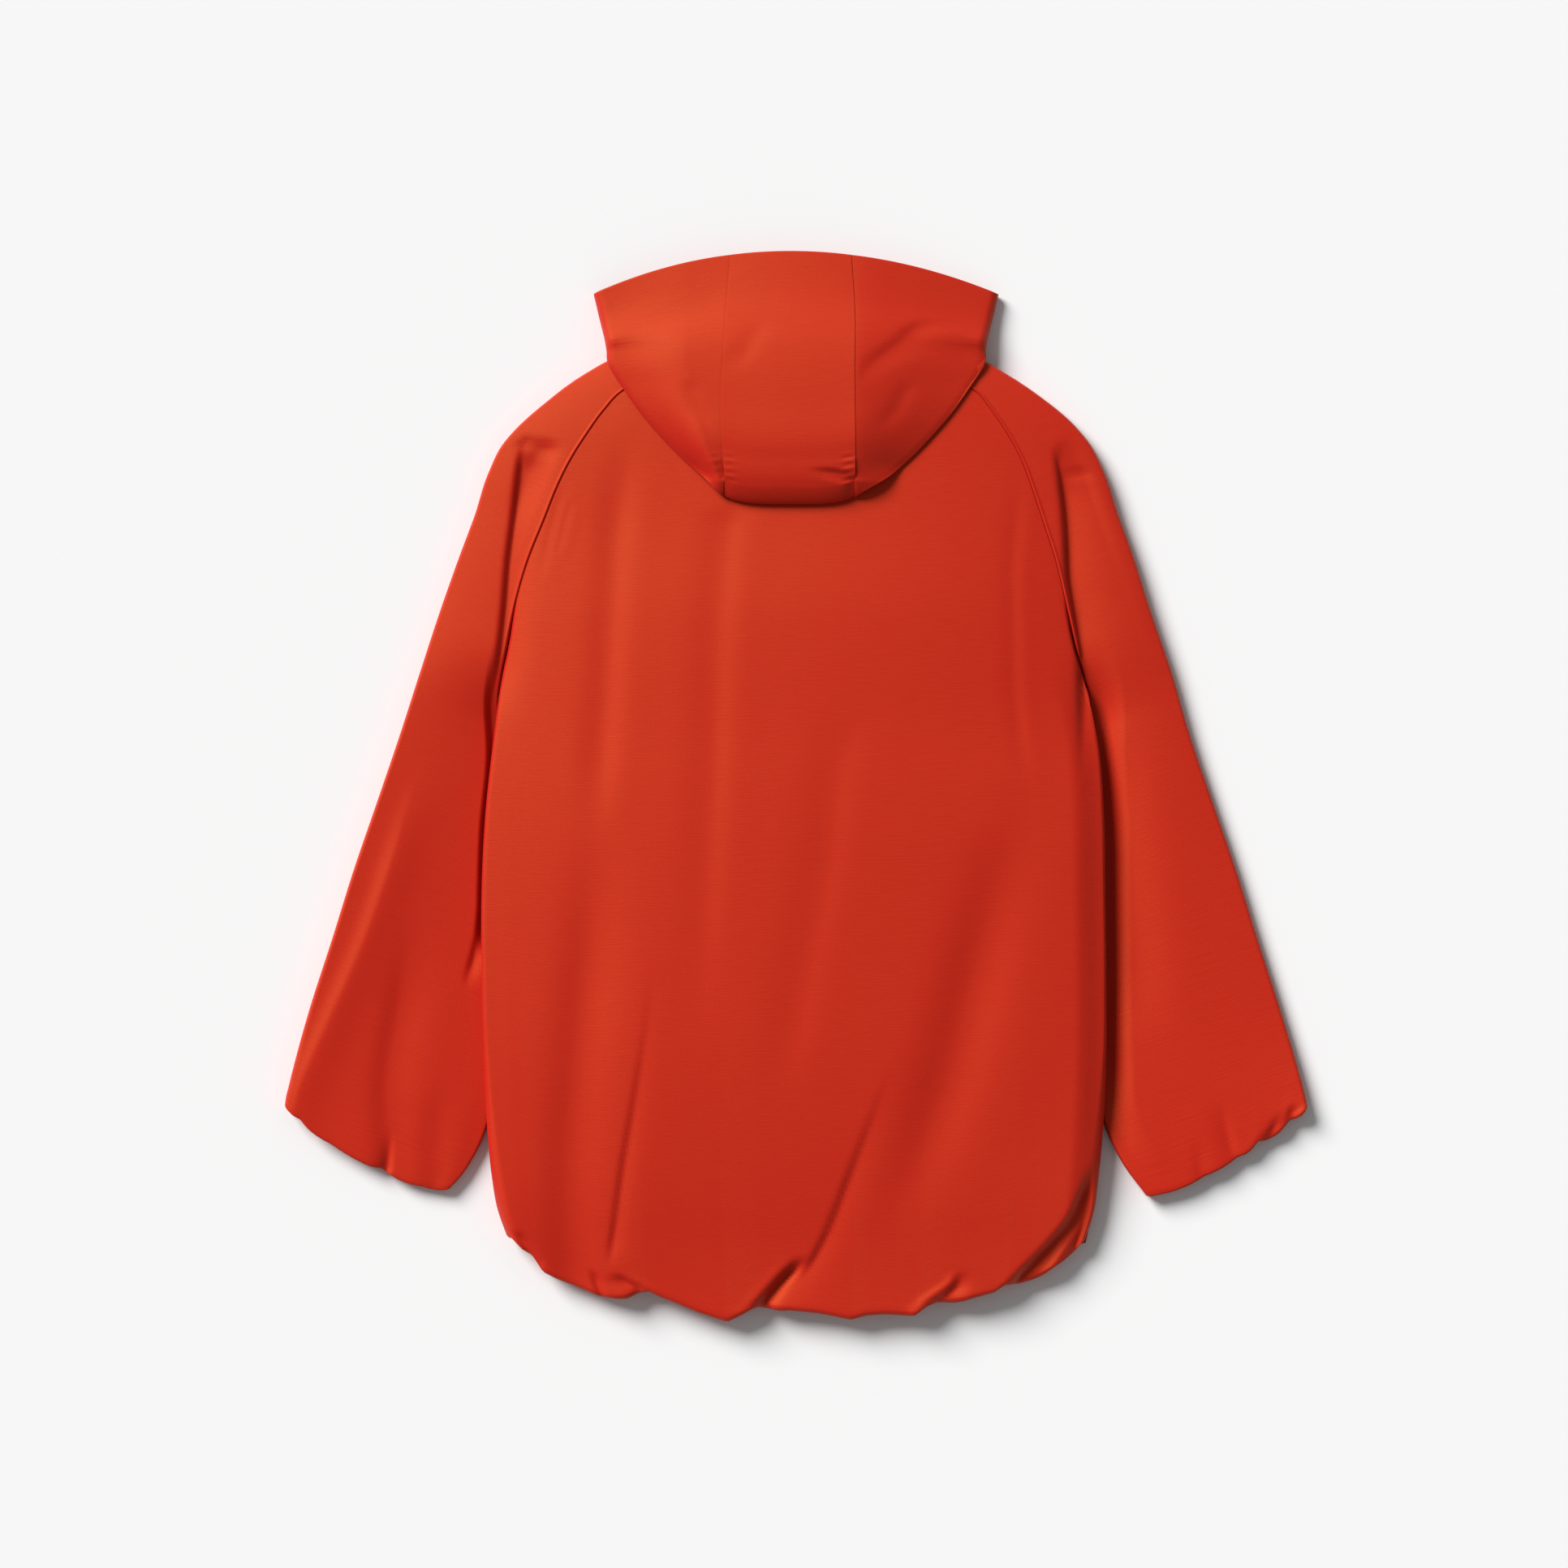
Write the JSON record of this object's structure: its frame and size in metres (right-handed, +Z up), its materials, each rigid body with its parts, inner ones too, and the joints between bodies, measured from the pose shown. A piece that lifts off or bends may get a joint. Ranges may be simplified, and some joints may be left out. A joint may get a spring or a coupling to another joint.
{
  "type": "hooded jacket",
  "caption": "Hooded raglan-sleeve jacket in plain orange-red canvas with gathered hem and cuffs, lying flat with its back up and its hood folded back",
  "frame": {"origin": "middle of the jacket's outline on the surface that it lies on", "axes": "+X across the jacket, to the right as the picture shows it; +Y from the hem towards the hood; +Z up, from the front's cloth on the surface to the back's cloth on top"},
  "size_m": [0.934, 0.9747, 0.0532],
  "materials": {
    "canvas": "smooth plain-weave canvas, matt with a soft sheen",
    "elastic_band": "ribbed elastic tape, matt",
    "zip_tape": "woven zip tape with moulded coil",
    "zip_metal": "satin nickel"
  },
  "bodies": {
    "root": {"back": "canvas", "front_left": "canvas", "front_right": "canvas", "sleeve_left": "canvas", "sleeve_right": "canvas", "hood_centre": "canvas", "hood_left": "canvas", "hood_right": "canvas", "hem_band": "elastic_band", "cuff_band_left": "elastic_band", "cuff_band_right": "elastic_band", "front_zip": "zip_tape", "zip_slider": "zip_metal", "zip_pull": "zip_tape"}
  },
  "joints": []
}
